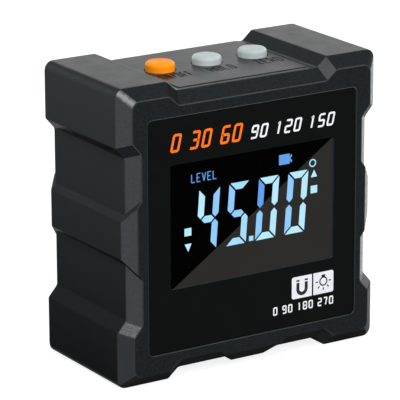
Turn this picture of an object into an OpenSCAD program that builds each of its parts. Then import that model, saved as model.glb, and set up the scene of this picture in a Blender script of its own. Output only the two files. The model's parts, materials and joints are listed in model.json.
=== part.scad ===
// Digital angle gauge: a square magnetic box level with a backlit readout.
// Millimetres. x runs to the right, y from the front to the rear and z up.
// The origin is under the middle of the body, on the plane that it stands on.

/* [Body] */
// Width of the body
body_w = 60; // [59.5:0.5:70]
// Height of the body
body_h = 60; // [59:0.5:70]
// Depth of the body from front to rear
body_d = 31; // [30:0.5:36]
// Wall between a groove and the inside
wall = 2; // [1.6:0.1:2.4]
// Wall behind the front panel
front_wall = 1.7; // [1.4:0.1:2.2]
// Length of each corner block along its side
block_len = 11.5; // [10:0.5:13]
// Run of the slope between a block and its groove
slope_run = 2.3; // [1.5:0.1:3]
// Depth of the grooves in the left, right and bottom sides
groove_depth = 2; // [1.6:0.1:2.2]
// Depth of the key deck below the top of the blocks
deck_depth = 2; // [1.6:0.1:2.4]
// Height of the shallow field that is raised on the key deck
field_rise = 0.15; // [0.1:0.01:0.25]
// Width of the deck's rim in front of that field
field_rim = 1.2; // [0.8:0.1:2]
// Length of the raised pad in the middle of a groove
pad_len = 7.5; // [5:0.5:10]
// Height of the pad above its groove
pad_rise = 1; // [0.5:0.1:1.4]
// Run of the slope at each end of the pad
pad_run = 1.25; // [0.8:0.05:1.6]
// Radius of the four outer corners
corner_r = 1.8; // [1:0.1:2.4]
// Radius where a block breaks into its slope
break_r = 0.7; // [0.3:0.1:1]
// Radius where a slope runs into its groove
root_r = 1.2; // [0.5:0.1:1.6]
// Chamfer round the front
front_chamfer = 2.4; // [1.6:0.1:3]
// Chamfer round the rear, which is also the thickness of the rear cover
rear_chamfer = 2; // [1.8:0.1:2.4]

/* [Front panel and display] */
// Margin of the front face at each side of the panel
panel_side = 1.5; // [1:0.1:2.5]
// Margin of the front face above the panel
panel_over = 2.3; // [1.5:0.1:3]
// Margin of the front face below the panel
panel_under = 2; // [1.5:0.1:3]
// Thickness of the front panel
panel_t = 0.6; // [0.4:0.1:0.8]
// Depth of the recess for the front panel
panel_recess = 0.8; // [0.8:0.1:1]
// Corner radius of the front panel
panel_r = 0.9; // [0.5:0.1:2]
// Width of the panel's band at each side of the window
window_side = 5; // [4.4:0.1:7]
// Height of the panel's band above the window
window_over = 9.4; // [8.5:0.1:11]
// Height of the panel's band below the window
window_under = 12.5; // [11:0.1:15]
// Corner radius of the window
window_r = 0.6; // [0.3:0.1:1.5]
// Thickness of the clear lens
lens_t = 0.8; // [0.6:0.1:1]
// How far the display runs behind the panel round the window
lcd_lap = 0.9; // [0.6:0.1:1]
// Height of the contact ledge below the rear glass
lcd_ledge = 3; // [2.4:0.1:3.2]
// Thickness of each of the two glasses
glass_t = 1.1; // [0.7:0.1:1.2]
// Thickness of the backlight
backlight_t = 2.6; // [2:0.1:3]
// Wall of the frame round the display
lcd_frame_wall = 1.3; // [1:0.1:1.4]

/* [Boards] */
// Thickness of both circuit boards
board_t = 1.2; // [1:0.1:1.6]
// Gap between the main board and the walls
board_gap = 0.6; // [0.4:0.1:1]
// Spacing of the main board's posts up the body
post_pitch = 24; // [20:1:26]
// Radius of a board post
post_r = 1.8; // [1.6:0.1:1.9]
// Width of the key board
key_board_w = 31; // [30:0.5:33]
// Depth of the key board from front to rear
key_board_d = 11; // [10.5:0.1:12]

/* [Keys] */
// Diameter of a key cap
key_d = 5.9; // [5:0.1:6.4]
// Gap round a key cap in the deck
key_gap = 0.22; // [0.15:0.01:0.3]
// Distance of the outer keys from the feet of the deck's slopes
key_end = 5.4; // [4.8:0.1:5.8]
// Distance of the row of keys behind the front face
key_back = 17.1; // [16.5:0.1:17.9]
// Height of a key cap above the deck's raised field
key_rise = 1.6; // [1:0.1:1.6]
// How far the power key stands above the other two
power_rise = 0.15; // [0:0.05:0.2]
// Rounding of a key cap's upper edge
key_edge_r = 0.8; // [0.4:0.1:1]
// Depth of the dish in the top of a key cap
key_dish = 0.15; // [0.05:0.05:0.25]
// Travel of a key
key_travel = 0.5; // [0.3:0.1:0.6]

/* [Cells and door] */
// Diameter of a cell
cell_d = 10.5; // [10:0.1:10.5]
// Length of a contact spring that a cell presses
spring_len = 2.8; // [2.2:0.1:3.4]
// Distance between the two cells
cell_pitch = 11.2; // [11:0.1:11.6]
// Wall of the cell well
well_wall = 1.2; // [1:0.1:1.3]
// Thickness of the door
door_t = 1.2; // [1:0.1:1.3]
// Width of the ledge that the door sits on
door_ledge = 0.9; // [0.7:0.1:0.9]
// Gap round the door
door_gap = 0.12; // [0.08:0.01:0.2]

/* [Magnets] */
// Distance of a bar magnet's ends from the front and the rear
magnet_ends = 8; // [7.4:0.1:10]
// Width of a bar magnet
magnet_w = 6; // [4:0.2:6.4]
// Thickness of a bar magnet
magnet_t = 2; // [1:0.1:2.2]

/* [Screws] */
// Distance of the case screws from the sides of the body
screw_in = 9.5; // [9:0.1:10]
// Distance of the case screws from the top and the bottom of the body
screw_up = 10; // [9.6:0.1:10.2]
// Diameter of a case screw
screw_d = 2; // [1.6:0.1:2.2]
// Length of a case screw under its head
screw_len = 10; // [8:0.5:11]
// Diameter of a case screw's head
screw_head_d = 3.8; // [3.2:0.1:4]
// Diameter of a board screw
board_screw_d = 1.4; // [1.2:0.1:1.6]
// Length of a board screw under its head
board_screw_len = 4; // [3:0.1:4]
// Diameter of a board screw's head
board_screw_head_d = 2.8; // [2.4:0.1:3]

/* [Hidden] */
KEYS = ["power", "hold", "zero"];
SIDES = ["bottom", "right", "top", "left"];
ENDS = ["a", "b"];

$fn = 48;
// Steps in each small fillet of an outline
FILLET_STEPS = 5;
// Slip between pieces that are pushed or dropped together
SLIP = 0.1;
// How far a cutting shape runs past the face that it cuts
PAST = 1;
// How far the shapes of one piece run into each other
JOIN = 0.2;

MOULD_BLACK = [0.07, 0.075, 0.08];
PANEL_BLACK = [0.03, 0.035, 0.035];
KEY_ORANGE = [1, 0.45, 0.05];
KEY_GREY = [0.72, 0.76, 0.76];
BOARD_GREEN = [0.05, 0.3, 0.15];
CHIP_BLACK = [0.05, 0.05, 0.055];
STEEL = [0.72, 0.73, 0.74];

// Main planes
front_y = -body_d / 2;
rear_y = body_d / 2;
parting_y = rear_y - rear_chamfer;
mid_z = body_h / 2;
deck_z = body_h - deck_depth;
field_z = deck_z + field_rise;
field_w = body_w - 2 * (block_len + slope_run + root_r);
field_front_y = front_y + front_chamfer + field_rim;
field_r = 0.6;

// Inside of the housing
cavity_x = body_w / 2 - groove_depth - wall;
cavity_low = groove_depth + wall;
cavity_high = deck_z - wall;
cavity_h = cavity_high - cavity_low;
cavity_mid = (cavity_low + cavity_high) / 2;
cavity_r = 1;

// Front panel and its window
panel_w = body_w - 2 * (groove_depth + front_chamfer + panel_side);
panel_low = groove_depth + front_chamfer + panel_under;
panel_h = deck_z - front_chamfer - panel_over - panel_low;
panel_z = panel_low + panel_h / 2;
window_w = panel_w - 2 * window_side;
window_h = panel_h - window_over - window_under;
window_z = panel_z + (window_under - window_over) / 2;

// Stack behind the window, from front to rear
panel_seat_y = front_y + panel_recess;
inner_front_y = panel_seat_y + front_wall;
lens_rear_y = panel_seat_y + lens_t;
lcd_front_y = lens_rear_y + SLIP;
lcd_ledge_y = lcd_front_y + glass_t;
lcd_rear_y = lcd_ledge_y + glass_t;
board_y = lcd_rear_y + backlight_t;
board_rear_y = board_y + board_t;
lcd_w = window_w + 2 * lcd_lap;
lcd_h = window_h + 2 * lcd_lap;
lcd_low = window_z - lcd_h / 2;
lcd_full_h = lcd_h + lcd_ledge;
lcd_full_mid = window_z - lcd_ledge / 2;
// Gap round the display in its frame, and round the lens in the front wall
lcd_gap = 0.15;
lens_gap = 0.3;
lcd_frame_x = lcd_w / 2 + lcd_gap + lcd_frame_wall;
zebra_w = 2;
zebra_inset = 1;

// Main board: its posts stand midway between the display frame and the wall
post_x = (lcd_frame_x + cavity_x) / 2;
board_r = 1;
board_hole_gap = 0.15;
boss_gap = 0.3;
chip_w = 9;
chip_t = 1.4;
chip_x = 6;
chip_down = 15;
chip_leads = 8;
lead_w = 0.4;
lead_len = 0.9;
lead_t = 0.3;
sensor_w = 3;
sensor_t = 1;
sensor_x = -8;

// Keys, switches and the key board, from the deck down
key_r = key_d / 2;
key_y = front_y + key_back;
key_pitch = body_w / 2 - block_len - slope_run - key_end;
key_flange_out = 0.8;
key_flange_r = key_r + key_flange_out;
key_flange_t = 1;
key_flange_z = cavity_high - SLIP;
key_stem_len = 1.2;
key_stem_z = key_flange_z - key_flange_t - key_stem_len;
switch_w = 6;
switch_h = 3.5;
plunger_r = 1.75;
plunger_show = 1.2;
plunger_seat = 0.5;
switch_top_z = key_stem_z - plunger_show;
key_board_top = switch_top_z - switch_h;
key_board_low = key_board_top - board_t;
key_board_margin = 1.2;
key_board_front = key_y + switch_w / 2 + key_board_margin - key_board_d;
key_post_y = key_y - switch_w / 2 - post_r - JOIN;
header_pins = 4;
header_w = 8;
header_h = 2.5;
header_gap = 0.3;
header_block = key_board_front - board_rear_y - header_gap;
pin_w = 0.64;
pin_reach = 2;

// Cell well and contacts
well_gap = 0.5;
well_x = cavity_x - well_gap - well_wall;
well_h = cell_pitch + cell_d + 0.7;
well_top = mid_z + well_h / 2;
well_low = mid_z - well_h / 2;
door_seat_y = rear_y - door_t;
cell_door_gap = 1;
cell_gap = 0.3;
cell_y = door_seat_y - cell_door_gap - cell_d / 2;
well_floor_y = cell_y - cell_d / 2 - cell_gap;
divider_t = 0.5;
divider_h = 3;
divider_inset = 4;
can_edge = 0.6;
nub_len = 0.9;
nub_r = 1.9;
contact_t = 0.3;
contact_w = 8;
contact_h = cell_d - 1;
dome_h = 0.5;
dome_r = 2.2;
dome_top_r = 1.4;
tail_w = 2;
tail_gap = 0.2;
spring_wire = 0.6;
spring_turns = 3;
spring_base_r = 3.2;
spring_tip_r = 2;
// Steps in each turn of a spring and sides of its wire
SPRING_STEPS = 16;
WIRE_SIDES = 8;
cell_tip_x = well_x - contact_t - dome_h - SLIP;
cell_len = 2 * well_x - spring_len - 2 * contact_t - dome_h - 2 * SLIP;

// Rear cover and door
cover_lip_t = 1.2;
cover_lip_deep = 2;
rebate_r = 0.8;
door_w = 2 * (well_x + door_ledge - door_gap);
door_h = well_h + 2 * (door_ledge - door_gap);
door_top = mid_z + door_h / 2;
door_low = mid_z - door_h / 2;
tongue_x = 12;
tongue_w = 6;
tongue_t = 0.8;
tongue_up = 0.5;
tongue_gap = 0.3;
tongue_post_t = 1.2;
tongue_post_gap = 0.15;
latch_w = 7;
latch_t = 0.8;
latch_deep = 2.4;
latch_gap = 0.4;
nail_r = 4;
nail_deep = 1.4;
nail_w = 9;
grip_count = 5;
grip_w = 12;
grip_t = 0.8;
grip_pitch = 1.6;
grip_deep = 0.4;
grip_up = 2.4;

// Bosses and screws
screw_x = body_w / 2 - screw_in;
boss_wall = 1.7;
boss_r = screw_d / 2 + boss_wall;
sleeve_r = boss_r + 0.5;
sleeve_floor = 2.5;
screw_slip = 0.05;
screw_pass = 0.2;
screw_bottom_gap = 0.4;
head_sink = 2.5;
head_seat_y = rear_y - head_sink;
sleeve_y = head_seat_y - sleeve_floor;
boss_top_y = sleeve_y - SLIP;
screw_head_t = 1.4;
board_head_t = 0.9;
// Cross recess of a screw, as shares of its head
CROSS_W = 0.18;
CROSS_L = 0.6;
CROSS_DEEP = 0.55;

// The four sides as [half length, distance of the face from the centre, groove depth, turn, has a pad]
side_data = [
    [body_w / 2, body_h / 2, groove_depth, 0, true],
    [body_h / 2, body_w / 2, groove_depth, 90, true],
    [body_w / 2, body_h / 2, deck_depth, 180, false],
    [body_h / 2, body_w / 2, groove_depth, 270, true]
];

function key_x(i) = (i - 1) * key_pitch;

function key_top_z(i) = field_z + key_rise + (i == 0 ? power_rise : 0);

function cell_z(row) = mid_z + row * cell_pitch / 2;

function unit(v) = v / norm(v);

// A point given along a side and outward from the centre, turned to that side in x and z
function on_side(turn, along, out) = [
    along * cos(turn) + out * sin(turn),
    mid_z + along * sin(turn) - out * cos(turn)
];

// Corners of one side, from its first block to its outer corner, moved inward by inset
function side_corners(side, inset) = let(
    half = side[0],
    face = side[1] - inset,
    floor = face - side[2],
    shift = inset * tan(atan2(side[2], slope_run) / 2),
    crest = half - block_len + shift,
    root = half - block_len - slope_run + shift
) [for (p = [[-crest, face], [-root, floor], [root, floor], [crest, face], [half - inset, face]])
    on_side(side[3], p.x, p.y)];

// Points of a fillet of radius r at corner b, between its neighbours a and c
function fillet(a, b, c, r) = let(
    u = unit(a - b),
    v = unit(c - b),
    half = acos(u * v) / 2,
    centre = b + unit(u + v) * r / sin(half),
    from = b + u * r / tan(half) - centre,
    start = atan2(from.y, from.x),
    step = (180 - 2 * half) * sign(cross(b - a, c - b)) / FILLET_STEPS
) [for (i = [0 : FILLET_STEPS]) centre + r * [cos(start + i * step), sin(start + i * step)]];

// A closed outline with every corner filleted
function filleted(corners, radii) = let(n = len(corners))
    [for (i = [0 : n - 1]) each fillet(corners[(i + n - 1) % n], corners[i], corners[(i + 1) % n], radii[i])];

// The body's outline in x and z, moved inward by inset
function outline(inset) = filleted(
    [for (side = side_data) each side_corners(side, inset)],
    [for (side = side_data) each [break_r, root_r, root_r, break_r, corner_r]]
);

// A rectangle with round corners, about the origin
function round_rect(w, h, r) = filleted(
    [[-w / 2, -h / 2], [w / 2, -h / 2], [w / 2, h / 2], [-w / 2, h / 2]],
    [r, r, r, r]
);

// Skins a stack of matching outlines, each in x and z at its own y, round the body's middle
module loft(rings, ys) {
    n = len(rings[0]);
    last = len(rings) - 1;
    points = concat(
        [for (k = [0 : last]) for (p = rings[k]) [p.x, ys[k], p.y]],
        [[0, ys[0], mid_z], [0, ys[last], mid_z]]
    );
    front = len(points) - 2;
    rear = len(points) - 1;
    polyhedron(points, concat(
        [for (k = [0 : last - 1]) for (i = [0 : n - 1]) let(j = (i + 1) % n)
            [k * n + i, k * n + j, (k + 1) * n + j, (k + 1) * n + i]],
        [for (i = [0 : n - 1]) [front, (i + 1) % n, i]],
        [for (i = [0 : n - 1]) [rear, last * n + i, last * n + (i + 1) % n]]
    ));
}

// Extrudes a drawing in x and z from y0 to y1
module along_y(y0, y1) {
    translate([0, y1, 0]) rotate([90, 0, 0]) linear_extrude(y1 - y0) children();
}

// An upright plate with round corners about the height z
module plate(w, h, y0, y1, r, z = mid_z) {
    along_y(y0, y1) translate([0, z]) polygon(round_rect(w, h, r));
}

// An upright block about the point x, z
module block(w, h, y0, y1, x = 0, z = mid_z) {
    translate([x - w / 2, y0, z - h / 2]) cube([w, y1 - y0, h]);
}

module bar_y(r, y0, y1) {
    translate([0, y1, 0]) rotate([90, 0, 0]) cylinder(r = r, h = y1 - y0);
}

module bar_z(r, z0, z1) {
    translate([0, 0, z0]) cylinder(r = r, h = z1 - z0);
}

module at_keys() {
    for (i = [0 : 2]) translate([key_x(i), key_y, 0]) children();
}

module at_case_screws() {
    for (x = [-screw_x, screw_x]) for (z = [screw_up, body_h - screw_up]) translate([x, 0, z]) children();
}

module at_board_posts() {
    for (x = [-post_x, post_x]) for (z = [-1, 1]) translate([x, 0, mid_z + z * post_pitch / 2]) children();
}

module at_key_posts() {
    for (x = [-1, 1]) translate([x * key_pitch / 2, key_post_y, 0]) children();
}

// Raised pads in the grooves, from y0 to y1, with a chamfer at each end.
// Their end slopes are planes that run on through the chamfers.
module pads(y0, y1, chamfer0, chamfer1) {
    half = pad_len / 2;
    deep = pad_rise + max(chamfer0, chamfer1) + JOIN;
    wide = half + deep * pad_run / pad_rise;
    for (side = side_data) if (side[4]) {
        top = side[1] - side[2] + pad_rise;
        translate([0, 0, mid_z]) rotate([0, -side[3], 0]) intersection() {
            along_y(y0, y1)
                polygon([[-half, -top], [half, -top], [wide, deep - top], [-wide, deep - top]]);
            translate([-wide, 0, 0]) rotate([90, 0, 90]) linear_extrude(2 * wide) polygon([
                [y0, deep - top], [y0, chamfer0 - top], [y0 + chamfer0, -top],
                [y1 - chamfer1, -top], [y1, chamfer1 - top], [y1, deep - top]
            ]);
        }
    }
}

// A bar magnet on the inside of side s, at its end e; with a slip it is the pocket
module magnet_bar(s, e, slip = 0) {
    side = side_data[s];
    inner = [mid_z - cavity_low, cavity_x, cavity_high - mid_z, cavity_x][s];
    middle = side[0] - groove_depth - wall - well_gap - magnet_w / 2;
    length = body_d - 2 * magnet_ends;
    size = [magnet_w + 2 * slip, length + 2 * slip, magnet_t + (slip > 0 ? slip + PAST : 0)];
    translate([0, 0, mid_z]) rotate([0, -side[3], 0])
        translate([(e == 0 ? -middle : middle) - size.x / 2, -size.y / 2, -inner - magnet_t - slip])
            cube(size);
}

// Solder tail of a right-hand contact, through the well's floor to the main board
module contact_tail(row, gap = 0) {
    block(contact_t + 2 * gap, tail_w + 2 * gap, board_rear_y, well_floor_y + contact_t + JOIN,
          well_x - contact_t / 2, cell_z(row));
}

// Deep tub with the front face, the four sides and the key deck
module front_housing() {
    color(MOULD_BLACK) difference() {
        union() {
            difference() {
                union() {
                    loft([outline(front_chamfer), outline(0), outline(0)],
                         [front_y, front_y + front_chamfer, parting_y]);
                    pads(front_y, parting_y, front_chamfer, 0);
                }
                plate(2 * cavity_x, cavity_h, inner_front_y, parting_y + PAST, cavity_r, cavity_mid);
                for (s = [0 : 3]) for (e = [0 : 1]) magnet_bar(s, e, SLIP);
            }
            translate([0, (field_front_y + parting_y) / 2, deck_z - JOIN]) linear_extrude(field_rise + JOIN)
                polygon(round_rect(field_w, parting_y - field_front_y, field_r));
            at_case_screws() bar_y(boss_r, inner_front_y - JOIN, boss_top_y);
            at_board_posts() bar_y(post_r, inner_front_y - JOIN, board_y);
            at_key_posts() bar_z(post_r, key_board_top, cavity_high + JOIN);
        }
        plate(panel_w + 2 * SLIP, panel_h + 2 * SLIP, front_y - PAST, panel_seat_y, panel_r + SLIP, panel_z);
        block(lcd_w + 2 * lens_gap, lcd_full_h + 2 * lens_gap, panel_seat_y - PAST, inner_front_y + PAST,
              0, lcd_full_mid);
        at_keys() bar_z(key_r + key_gap, cavity_high - PAST, field_z + PAST);
        at_case_screws()
            bar_y(screw_d / 2 + screw_slip, head_seat_y - screw_len - screw_bottom_gap, boss_top_y + PAST);
        at_board_posts()
            bar_y(board_screw_d / 2 + screw_slip, board_rear_y - board_screw_len - screw_bottom_gap,
                  board_y + PAST);
        at_key_posts()
            bar_z(board_screw_d / 2 + screw_slip, key_board_top - PAST,
                  key_board_low + board_screw_len + screw_bottom_gap);
    }
}

// Chamfered rear plate with a locating lip, screw sleeves and the cell well
module rear_cover() {
    lip_w = 2 * (cavity_x - 2 * SLIP);
    lip_h = cavity_h - 4 * SLIP;
    lip_y = parting_y - cover_lip_deep;
    slot_h = door_ledge + tongue_up + tongue_gap;
    color(MOULD_BLACK) difference() {
        union() {
            loft([outline(0), outline(rear_chamfer)], [parting_y, rear_y]);
            pads(parting_y, rear_y, 0, rear_chamfer);
            difference() {
                plate(lip_w, lip_h, lip_y, parting_y + JOIN, cavity_r, cavity_mid);
                plate(lip_w - 2 * cover_lip_t, lip_h - 2 * cover_lip_t, lip_y - PAST, parting_y + PAST,
                      cavity_r, cavity_mid);
            }
            block(2 * (well_x + well_wall), well_h + 2 * well_wall, well_floor_y - well_wall,
                  parting_y + JOIN);
            at_case_screws() bar_y(sleeve_r, sleeve_y, parting_y + JOIN);
        }
        difference() {
            block(2 * well_x, well_h, well_floor_y, rear_y + PAST);
            block(2 * (well_x - divider_inset), divider_t, well_floor_y - PAST, well_floor_y + divider_h);
        }
        plate(2 * (well_x + door_ledge), well_h + 2 * door_ledge, door_seat_y, rear_y + PAST, rebate_r);
        for (x = [-tongue_x, tongue_x])
            block(tongue_w + 2 * tongue_gap, slot_h + PAST, parting_y - tongue_t - 2 * tongue_gap, parting_y,
                  x, well_top + (slot_h - PAST) / 2);
        translate([-nail_w / 2, rear_y + nail_r - nail_deep, door_low]) rotate([0, 90, 0])
            cylinder(r = nail_r, h = nail_w);
        at_case_screws() {
            bar_y(screw_d / 2 + screw_pass, sleeve_y - PAST, rear_y);
            bar_y(screw_head_d / 2 + screw_pass, head_seat_y, rear_y + PAST);
        }
        for (row = [-1, 1]) contact_tail(row, tail_gap);
    }
}

// Door over the cells: two tongues hook it in at the top and a latch finger holds its lower edge
module battery_door() {
    hook_y = parting_y - tongue_gap - tongue_t;
    post_top = well_top - tongue_post_gap;
    post_low = post_top - tongue_post_t;
    hook_top = door_top + tongue_up;
    color(MOULD_BLACK) difference() {
        union() {
            plate(door_w, door_h, door_seat_y, rear_y, rebate_r - door_gap);
            for (x = [-tongue_x, tongue_x]) {
                block(tongue_w, tongue_post_t, hook_y, door_seat_y + JOIN, x, (post_top + post_low) / 2);
                block(tongue_w, hook_top - post_low, hook_y, hook_y + tongue_t, x, (hook_top + post_low) / 2);
            }
            block(latch_w, latch_t, door_seat_y - latch_deep, door_seat_y + JOIN,
                  0, well_low + latch_gap + latch_t / 2);
        }
        for (i = [0 : grip_count - 1])
            block(grip_w, grip_t, rear_y - grip_deep, rear_y + PAST, 0, door_low + grip_up + i * grip_pitch);
    }
}

// Printed overlay round the window
module front_panel() {
    color(PANEL_BLACK) difference() {
        plate(panel_w, panel_h, panel_seat_y - panel_t, panel_seat_y, panel_r, panel_z);
        plate(window_w, window_h, panel_seat_y - panel_t - PAST, panel_seat_y + PAST, window_r, window_z);
    }
}

module display_lens() {
    color([0.8, 0.85, 0.9, 0.3]) block(lcd_w, lcd_full_h, panel_seat_y, lens_rear_y, 0, lcd_full_mid);
}

// Two bonded glasses: the front one is taller, and its contact ledge faces the main board
module lcd_cell() {
    color([0.02, 0.02, 0.025]) {
        block(lcd_w, lcd_full_h, lcd_front_y, lcd_ledge_y, 0, lcd_full_mid);
        block(lcd_w, lcd_h, lcd_ledge_y - JOIN, lcd_rear_y, 0, window_z);
    }
}

module backlight() {
    color([0.9, 0.92, 0.95]) block(lcd_w, lcd_h, lcd_rear_y, board_y, 0, window_z);
}

// Frame that holds the display between the front wall and the main board
module lcd_frame() {
    inner_h = lcd_full_h + 2 * lcd_gap;
    color([0.85, 0.85, 0.85]) difference() {
        block(2 * lcd_frame_x, inner_h + 2 * lcd_frame_wall, inner_front_y, board_y, 0, lcd_full_mid);
        block(lcd_w + 2 * lcd_gap, inner_h, inner_front_y - PAST, board_y + PAST, 0, lcd_full_mid);
    }
}

// Rubber connector from the display's contact ledge to the main board
module zebra_strip() {
    color([0.9, 0.55, 0.6])
        block(lcd_w - 2 * zebra_inset, zebra_w, lcd_ledge_y, board_y, 0, lcd_low - lcd_ledge / 2);
}

module main_board() {
    color(BOARD_GREEN) difference() {
        plate(2 * (cavity_x - board_gap), cavity_h - 2 * board_gap, board_y, board_rear_y, board_r,
              cavity_mid);
        at_case_screws() bar_y(boss_r + boss_gap, board_y - PAST, board_rear_y + PAST);
        at_board_posts() bar_y(board_screw_d / 2 + board_hole_gap, board_y - PAST, board_rear_y + PAST);
    }
}

// Flat package with a row of leads on each of its four sides
module controller_chip() {
    lead_pitch = chip_w / (chip_leads + 1);
    color(CHIP_BLACK) translate([chip_x, 0, mid_z - chip_down]) {
        block(chip_w, chip_w, board_rear_y, board_rear_y + chip_t, 0, 0);
        for (turn = [0 : 90 : 270]) for (i = [1 : chip_leads]) rotate([0, turn, 0])
            block(lead_len + JOIN, lead_w, board_rear_y, board_rear_y + lead_t,
                  (chip_w + lead_len - JOIN) / 2, i * lead_pitch - chip_w / 2);
    }
}

module tilt_sensor() {
    color(CHIP_BLACK)
        block(sensor_w, sensor_w, board_rear_y, board_rear_y + sensor_t, sensor_x, mid_z - chip_down);
}

module key_board() {
    color(BOARD_GREEN) difference() {
        translate([-key_board_w / 2, key_board_front, key_board_low])
            cube([key_board_w, key_board_d, board_t]);
        at_key_posts() bar_z(board_screw_d / 2 + board_hole_gap, key_board_low - PAST, key_board_top + PAST);
    }
}

// Pin header that joins the key board to the main board
module key_header() {
    pin_z = key_board_low - pin_w / 2;
    pin_pitch = header_w / header_pins;
    color(CHIP_BLACK) {
        block(header_w, header_h, board_rear_y, board_rear_y + header_block, 0, pin_z);
        for (i = [0 : header_pins - 1])
            block(pin_w, pin_w, board_rear_y + header_block - JOIN, key_board_front + pin_reach,
                  (i - (header_pins - 1) / 2) * pin_pitch, pin_z);
    }
}

// Body of a tact switch with the bore that its plunger runs in
module tact_switch(i) {
    bore_z = switch_top_z - plunger_seat - key_travel - JOIN;
    color([0.2, 0.2, 0.22]) translate([key_x(i), key_y, 0]) difference() {
        translate([-switch_w / 2, -switch_w / 2, key_board_top]) cube([switch_w, switch_w, switch_h]);
        bar_z(plunger_r + SLIP, bore_z, switch_top_z + PAST);
    }
}

module plunger(i) {
    color([0.1, 0.1, 0.1])
        translate([key_x(i), key_y, 0]) bar_z(plunger_r, switch_top_z - plunger_seat, key_stem_z);
}

// Half section of a key cap up to top_z, from its axis outward: stem, flange and dished cap
module key_profile(top_z) {
    edge_z = top_z - key_edge_r;
    dish_r = (key_r * key_r + key_dish * key_dish) / (2 * key_dish);
    difference() {
        union() {
            translate([0, key_stem_z]) square([plunger_r, edge_z - key_stem_z]);
            translate([0, key_flange_z - key_flange_t]) square([key_flange_r, key_flange_t]);
            translate([0, key_flange_z - JOIN]) square([key_r, edge_z - key_flange_z + JOIN]);
            translate([0, edge_z - JOIN]) square([key_r - key_edge_r, key_edge_r + JOIN]);
            intersection() {
                translate([key_r - key_edge_r, edge_z]) circle(r = key_edge_r);
                translate([0, edge_z]) square([key_r + PAST, key_edge_r + PAST]);
            }
        }
        intersection() {
            translate([0, top_z + dish_r - key_dish]) circle(r = dish_r);
            translate([0, edge_z]) square([key_r, key_edge_r + PAST]);
        }
    }
}

module key_button(i) {
    color(i == 0 ? KEY_ORANGE : KEY_GREY)
        translate([key_x(i), key_y, 0]) rotate_extrude() key_profile(key_top_z(i));
}

// A cell lying along x in the upper (1) or lower (-1) row, with its cap to the right (1) or left (-1)
module cell(row, cap) {
    can_len = cell_len - nub_len;
    can_r = cell_d / 2;
    color([0.85, 0.65, 0.15])
        translate([cap * (cell_tip_x - cell_len), cell_y, cell_z(row)]) rotate([0, cap * 90, 0])
            rotate_extrude() polygon([
                [0, 0], [can_r - can_edge, 0], [can_r, can_edge], [can_r, can_len - can_edge],
                [can_r - can_edge, can_len], [nub_r, can_len], [nub_r, cell_len], [0, cell_len]
            ]);
}

// Contact plate of the given height against the right (1) or left (-1) end of the well
module contact_plate(h, z, end) {
    block(contact_t, h, well_floor_y + contact_t, well_floor_y + contact_t + contact_h,
          end * (well_x - contact_t / 2), z);
}

// Pressed dome that meets a cell's cap
module contact_dome(row, end) {
    translate([end * (well_x - contact_t + JOIN), cell_y, cell_z(row)]) rotate([0, -end * 90, 0])
        cylinder(r1 = dome_r, r2 = dome_top_r, h = dome_h + JOIN);
}

// A point of the conical spring's centre line after a share of its length
function spring_point(share) = let(
    r = spring_base_r + (spring_tip_r - spring_base_r) * share,
    turn = 360 * spring_turns * share
) [r * cos(turn), r * sin(turn), spring_wire / 2 - SLIP + (spring_len - spring_wire + SLIP) * share];

// Conical coil spring on the contact plate
module contact_spring(row, end) {
    steps = SPRING_STEPS * spring_turns;
    points = [for (k = [0 : steps]) let(p = spring_point(k / steps), out = unit([p.x, p.y, 0]))
        for (j = [0 : WIRE_SIDES - 1]) let(turn = 360 * j / WIRE_SIDES)
            p + spring_wire / 2 * (out * cos(turn) + [0, 0, sin(turn)])];
    translate([end * (well_x - contact_t), cell_y, cell_z(row)]) rotate([0, -end * 90, 0])
        polyhedron(points, concat(
            [for (k = [0 : steps - 1]) for (j = [0 : WIRE_SIDES - 1]) let(n = (j + 1) % WIRE_SIDES)
                [k * WIRE_SIDES + j, k * WIRE_SIDES + n, (k + 1) * WIRE_SIDES + n, (k + 1) * WIRE_SIDES + j]],
            [[for (j = [WIRE_SIDES - 1 : -1 : 0]) j]],
            [[for (j = [0 : WIRE_SIDES - 1]) steps * WIRE_SIDES + j]]
        ));
}

// Left-hand contact that joins the two cells
module bridge_contact() {
    color(STEEL) {
        contact_plate(cell_pitch + contact_w, mid_z, -1);
        contact_dome(-1, -1);
        contact_spring(1, -1);
    }
}

module positive_contact() {
    color(STEEL) {
        contact_plate(contact_w, cell_z(1), 1);
        contact_dome(1, 1);
        contact_tail(1);
    }
}

module negative_contact() {
    color(STEEL) {
        contact_plate(contact_w, cell_z(-1), 1);
        contact_spring(-1, 1);
        contact_tail(-1);
    }
}

module magnet(s, e) {
    color(STEEL) magnet_bar(s, e);
}

// Pan head screw with the underside of its head at the origin and its shank pointing down
module pan_screw(d, length, head_d, head_t) {
    difference() {
        union() {
            bar_z(d / 2, -length, JOIN);
            bar_z(head_d / 2, 0, head_t);
        }
        for (turn = [0, 90]) rotate([0, 0, turn])
            translate([-head_d * CROSS_L / 2, -head_d * CROSS_W / 2, head_t * (1 - CROSS_DEEP)])
                cube([head_d * CROSS_L, head_d * CROSS_W, head_t]);
    }
}

module case_screws() {
    color(STEEL) at_case_screws() translate([0, head_seat_y, 0]) rotate([-90, 0, 0])
        pan_screw(screw_d, screw_len, screw_head_d, screw_head_t);
}

module board_screws() {
    color(STEEL) {
        at_board_posts() translate([0, board_rear_y, 0]) rotate([-90, 0, 0])
            pan_screw(board_screw_d, board_screw_len, board_screw_head_d, board_head_t);
        at_key_posts() translate([0, 0, key_board_low]) rotate([180, 0, 0])
            pan_screw(board_screw_d, board_screw_len, board_screw_head_d, board_head_t);
    }
}

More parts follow.
